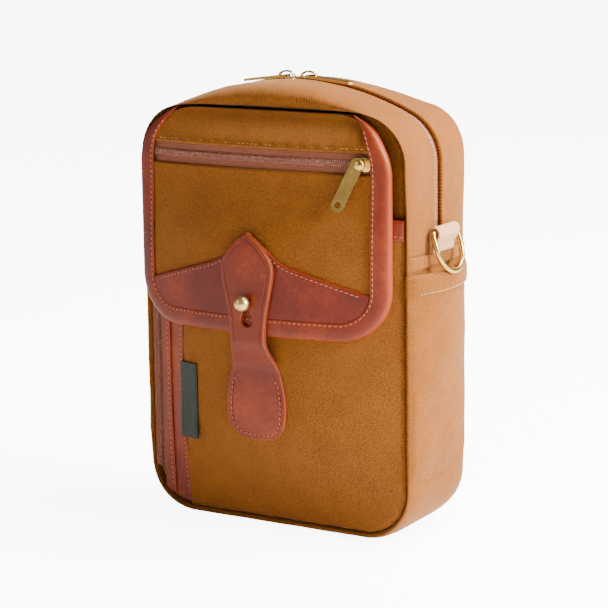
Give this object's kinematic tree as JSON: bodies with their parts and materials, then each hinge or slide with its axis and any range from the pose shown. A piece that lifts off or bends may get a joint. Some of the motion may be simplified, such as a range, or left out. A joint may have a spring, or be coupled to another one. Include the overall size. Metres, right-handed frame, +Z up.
{
  "type": "field pouch",
  "caption": "Upright canvas field pouch with leather-trimmed flap, stud-and-tab catch, zipped crown, side pockets and brass D-rings.",
  "frame": {"origin": "middle of the flat base", "axes": "+Z up, front and flap face -Y, +X to the right of someone facing the front"},
  "size_m": [0.1954, 0.1037, 0.2542],
  "materials": {
    "canvas": "twill, matte",
    "leather": "smooth, satin",
    "brass": "polished",
    "zip_tape": "woven, matte",
    "zip_coil": "satin",
    "webbing": "woven, matte",
    "lining": "plain weave",
    "foam": "closed cell, matte",
    "stiffener": "matte",
    "label": "satin ribbon"
  },
  "bodies": {
    "pouch": {"base_board": "stiffener", "base_pad": "foam", "belt_loop": "webbing", "front_pad": "foam", "front_panel": "canvas", "front_pocket": "canvas", "guard_welt": "leather", "label": "label", "lining": "lining", "lower_gusset": "canvas", "main_coil_front": "zip_coil", "main_coil_rear": "zip_coil", "main_tape_front": "zip_tape", "main_tape_rear": "zip_tape", "pocket_binding": "leather", "pocket_coil_inner": "zip_coil", "pocket_coil_outer": "zip_coil", "pocket_tape_inner": "zip_tape", "pocket_tape_outer": "zip_tape", "rear_pad": "foam", "rear_panel": "canvas", "ring_tab_left": "webbing", "ring_tab_right": "webbing", "side_band_left": "canvas", "side_band_right": "canvas", "side_hem_left": "canvas", "side_hem_right": "canvas", "side_pocket_left": "canvas", "side_pocket_right": "canvas", "tab_anchor": "leather", "upper_gusset_front": "canvas", "upper_gusset_rear": "canvas", "zip_guard": "leather"},
    "flap": {"flap_backing": "canvas", "flap_cloth_upper": "canvas", "flap_cloth_lower": "canvas", "flap_binding": "leather", "flap_yoke": "leather", "flap_tape_lower": "zip_tape", "flap_tape_upper": "zip_tape", "flap_coil_lower": "zip_coil", "flap_coil_upper": "zip_coil", "stud": "brass", "stud_screw": "brass"},
    "tongue": {"tab_tongue": "leather"},
    "flap_slider": {"flap_slider": "brass"},
    "flap_pull": {"flap_pull": "brass"},
    "left_slider": {"left_slider": "brass"},
    "left_pull": {"left_pull": "brass"},
    "right_slider": {"right_slider": "brass"},
    "right_pull": {"right_pull": "brass"},
    "pocket_slider": {"pocket_slider": "brass", "pocket_pull": "brass"},
    "ring_left": {"ring_left": "brass"},
    "ring_right": {"ring_right": "brass"}
  },
  "joints": [
    {"name": "flap_fold", "type": "hinge", "parent": "pouch", "child": "flap", "pos_m": [-0.0025, -0.0345, 0.235], "axis": [-1, 0, 0], "range_deg": [0, 130]},
    {"name": "tab_lift", "type": "hinge", "parent": "pouch", "child": "tongue", "pos_m": [-0.0025, -0.0482, 0.0933], "axis": [1, 0, 0], "range_deg": [0, 125], "deforming": ["tab_tongue"]},
    {"name": "flap_zip_slide", "type": "hinge", "parent": "flap", "child": "flap_slider", "pos_m": [-0.0025, 0.42364, 0.2105], "axis": [0, 0, -1], "range_deg": [0, 15.34]},
    {"name": "flap_pull_swing", "type": "hinge", "parent": "flap_slider", "child": "flap_pull", "pos_m": [0.0605, -0.04398, 0.2105], "axis": [-0.1332, 0.9886, -0.0698], "range_deg": [-55, 60]},
    {"name": "left_zip_slide", "type": "hinge", "parent": "pouch", "child": "left_slider", "pos_m": [0, 0, 0.09], "axis": [0, -1, 0], "range_deg": [0, 17.5]},
    {"name": "right_zip_slide", "type": "hinge", "parent": "pouch", "child": "right_slider", "pos_m": [0, 0, 0.09], "axis": [0, 1, 0], "range_deg": [0, 18.5]},
    {"name": "left_pull_lift", "type": "hinge", "parent": "left_slider", "child": "left_pull", "pos_m": [-0.00908, 0, 0.25124], "axis": [0, 1, 0], "range_deg": [0, 120]},
    {"name": "right_pull_lift", "type": "hinge", "parent": "right_slider", "child": "right_pull", "pos_m": [0.00555, 0, 0.2514], "axis": [0, -1, 0], "range_deg": [0, 120]},
    {"name": "pocket_zip_slide", "type": "slide", "parent": "pouch", "child": "pocket_slider", "axis": [0, 0, -1], "range_m": [0, 0.12]},
    {"name": "left_ring_swing", "type": "hinge", "parent": "pouch", "child": "ring_left", "pos_m": [-0.0896, 0, 0.171], "axis": [0, 1, 0], "range_deg": [0, 150]},
    {"name": "right_ring_swing", "type": "hinge", "parent": "pouch", "child": "ring_right", "pos_m": [0.0896, 0, 0.171], "axis": [0, -1, 0], "range_deg": [0, 150]}
  ]
}
